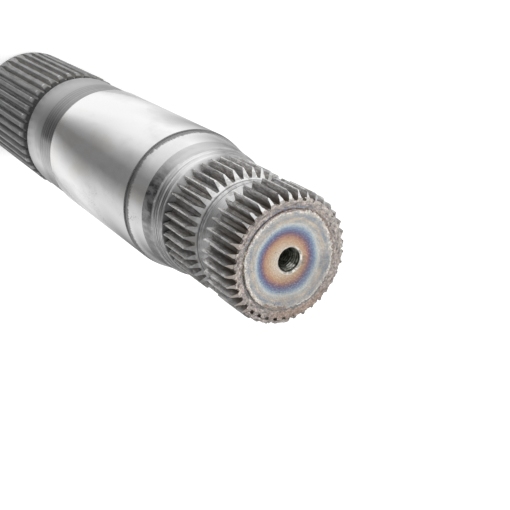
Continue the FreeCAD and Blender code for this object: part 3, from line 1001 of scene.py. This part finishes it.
# Thread in the centre hole, a vee ridge wound up the drilled wall.
thread = {
    "pitch": 1.25,
    "turns": 17,
    "start": 246.2,  # height of the first turn
    "wall": 4.53,
    "crest": 4.22,
    "half": 0.42,    # half the ridge's width at the wall
    "steps": 48,
}


def cutThread():
    low = thread["start"]
    ridge = drawPath("boreThread", [
        (thread["wall"], 0, low - thread["half"]),
        (thread["crest"], 0, low),
        (thread["wall"], 0, low + thread["half"]),
    ])
    bpy.ops.mesh.select_all(action="SELECT")
    bpy.ops.mesh.edge_face_add()
    bpy.ops.mesh.delete(type="ONLY_FACE")
    bpy.ops.object.mode_set(mode="OBJECT")
    wind = ridge.modifiers.new("wind", "SCREW")
    wind.axis = "Z"
    wind.angle = 2 * pi
    wind.screw_offset = thread["pitch"] * mm
    wind.iterations = thread["turns"]
    wind.steps = thread["steps"]
    wind.render_steps = thread["steps"]
    wind.use_smooth_shade = False
    bpy.ops.object.modifier_apply(modifier=wind.name)
    bpy.ops.object.mode_set(mode="EDIT")
    bpy.ops.mesh.select_all(action="SELECT")
    bpy.ops.mesh.remove_doubles(threshold=weld)
    bpy.ops.mesh.fill_holes(sides=4)
    faceOutwards()
    bpy.ops.object.mode_set(mode="OBJECT")
    ridge.data.materials.append(finishes["bore"])
    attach(ridge, "root")
    return ridge


boreThread = cutThread()
print("thread wound", len(boreThread.data.polygons))

# Camera, placed by the fitted view of the arm end's face.
view = {
    "faceHeight": 268.9,
    "azimuth": 1.54,
    "out": 210.76,                        # from the shaft's axis
    "above": 253.04,                      # above the face
    "lens": 66.68,
    "clipStart": 10,
    # where the picture's right side and top point: outwards, sideways and up
    "right": (-0.6803, -0.5180, 0.5185),
    "top": (0.4018, -0.8553, -0.3273),
}


def placeCamera():
    side = radians(view["azimuth"])
    outwards = Vector((cos(side), sin(side), 0))
    sideways = Vector((-outwards.y, outwards.x, 0))
    upwards = Vector((0, 0, 1))
    right, top = [
        (out * outwards + across * sideways + up * upwards).normalized()
        for out, across, up in (view["right"], view["top"])
    ]
    turn = Matrix((right, top, right.cross(top))).transposed()
    stand = outwards * view["out"] + upwards * (view["above"] + view["faceHeight"])
    data = bpy.data.cameras.new("camera")
    data.lens = view["lens"]
    data.clip_start = view["clipStart"] * mm
    camera = bpy.data.objects.new("camera", data)
    bpy.context.collection.objects.link(camera)
    camera.matrix_world = Matrix.Translation(stand * mm) @ turn.to_4x4()
    bpy.context.scene.camera = camera


placeCamera()
print("camera placed")

# Floor of matt white paper, in metres. It fades to white away from the object, so that it
# has no horizon, and polished metal doesn't show it.
paper = {
    "size": 6,
    "color": "#e7e7e7",
    "roughness": 0.9,
    "whiteFrom": (0.25, 0.9),  # distance where it starts to whiten, and where it is white
    "white": (0.45, 1.0),      # how much white it adds before and after
}


def layFloor():
    deselectAll()
    bpy.ops.mesh.primitive_plane_add(size=paper["size"])
    floor = bpy.context.object
    floor.name = "floor"
    floor.visible_glossy = False
    material = bpy.data.materials.new("whitePaper")
    material.use_nodes = True
    tree = material.node_tree
    shader = tree.nodes["Principled BSDF"]
    shader.inputs["Base Color"].default_value = hexColor(paper["color"])
    shader.inputs["Roughness"].default_value = paper["roughness"]
    shader.inputs["Specular IOR Level"].default_value = 0
    shader.inputs["Emission Color"].default_value = (1, 1, 1, 1)
    add = partial(addNode, tree)
    distance = add("VectorMath", [add("TexCoord").outputs["Object"]], operation="LENGTH")
    white = add("MapRange", [distance, *paper["whiteFrom"], *paper["white"]], **soft)
    seen = add("Math", [add("LightPath").outputs["Is Camera Ray"], white], **times)
    tree.links.new(firstOutput(seen), shader.inputs["Emission Strength"])
    floor.data.materials.append(material)


layFloor()
print("floor laid")

# Studio round the object: soft white, with one dark gap between the softboxes that the
# polished journal shows as a dark band. It is darker on both sides higher up.
studio = {
    "fill": 0.25,                  # light on all that isn't a reflection
    "brightest": 1.1,
    "low": [                       # side, strength
        (-180, 0.8), (-150, 0.75), (-115, 1.05), (-60, 1.05), (-35, 0.9), (-20, 0.6),
        (-5, 0.35), (10, 0.22), (35, 0.22), (60, 0.5), (80, 0.8), (100, 0.97),
        (120, 0.93), (140, 0.72), (160, 0.8), (180, 0.8),
    ],
    "high": [
        (-180, 0.35), (-125, 0.45), (-75, 1.1), (-40, 1.0), (-25, 0.85), (-5, 0.42),
        (10, 0.23), (30, 0.22), (45, 0.4), (60, 0.7), (80, 0.8), (95, 0.68),
        (115, 0.4), (130, 0.2), (150, 0.22), (180, 0.35),
    ],
    # how steeply a direction looks up, from -1 straight down to 1 straight up
    "highStarts": (-0.885, -0.77),
    "highEnds": (-0.3, -0.1),
    "ceilingStarts": (-0.15, 0.05),
    "ceiling": "#f9f9f9",
}


def lightStudio():
    world = bpy.data.worlds.new("studio")
    world.use_nodes = True
    world.cycles.sampling_method = "NONE"
    tree = world.node_tree
    add = partial(addNode, tree)
    east, north, steepness = add("SeparateXYZ", [add("TexCoord").outputs["Generated"]]).outputs
    around = add("Math", [north, east], operation="ARCTAN2")
    around = add("MapRange", [around, -pi, pi, 0, 1])
    low, high = [
        add("ValToRGB", [around], [
            (side / 360 + 0.5, strength / studio["brightest"]) for side, strength in studio[ring]
        ])
        for ring in ("low", "high")
    ]
    starts = add("MapRange", [steepness, *studio["highStarts"], 0, 1], **soft)
    ends = add("MapRange", [steepness, *studio["highEnds"], 1, 0], **soft)
    glow = add("Mix", [add("Math", [starts, ends], **times), low, high], **blend)
    glow = add("Math", [glow, studio["brightest"]], **times)
    ceiling = add("MapRange", [steepness, *studio["ceilingStarts"], 0, 1], **soft)
    glow = add("Mix", [ceiling, glow, studio["ceiling"]], **blend)
    ray = add("LightPath")
    level = add("Mix", [ray.outputs["Is Glossy Ray"], studio["fill"], glow], data_type="FLOAT")
    level = add("Mix", [ray.outputs["Is Camera Ray"], level, 1.0], data_type="FLOAT")
    background = tree.nodes["Background"]
    background.inputs["Color"].default_value = (1, 1, 1, 1)
    tree.links.new(firstOutput(level), background.inputs["Strength"])
    bpy.context.scene.world = world


lightStudio()
print("studio lit")

# Two large soft lamps, in metres and watts, that polished metal doesn't show.
lamps = {
    "key": {"azimuth": 215, "elevation": 52, "distance": 1.2, "size": 0.7, "power": 10},
    "fill": {"azimuth": 35, "elevation": 48, "distance": 1.2, "size": 0.9, "power": 7},
}
lampAim = Vector((0, 0, 0.15))


def hangLamp(name, lamp):
    data = bpy.data.lights.new(name, "AREA")
    data.shape = "SQUARE"
    data.size = lamp["size"]
    data.energy = lamp["power"]
    light = bpy.data.objects.new(name, data)
    bpy.context.collection.objects.link(light)
    light.visible_glossy = False
    side, rise = radians(lamp["azimuth"]), radians(lamp["elevation"])
    away = Vector((cos(side) * cos(rise), sin(side) * cos(rise), sin(rise)))
    light.location = lampAim + away * lamp["distance"]
    light.rotation_mode = "QUATERNION"
    light.rotation_quaternion = away.to_track_quat("Z", "Y")


for name, lamp in lamps.items():
    hangLamp(name, lamp)
print("lamps hung", len(lamps))

scene = bpy.context.scene
scene.view_settings.view_transform = "Standard"
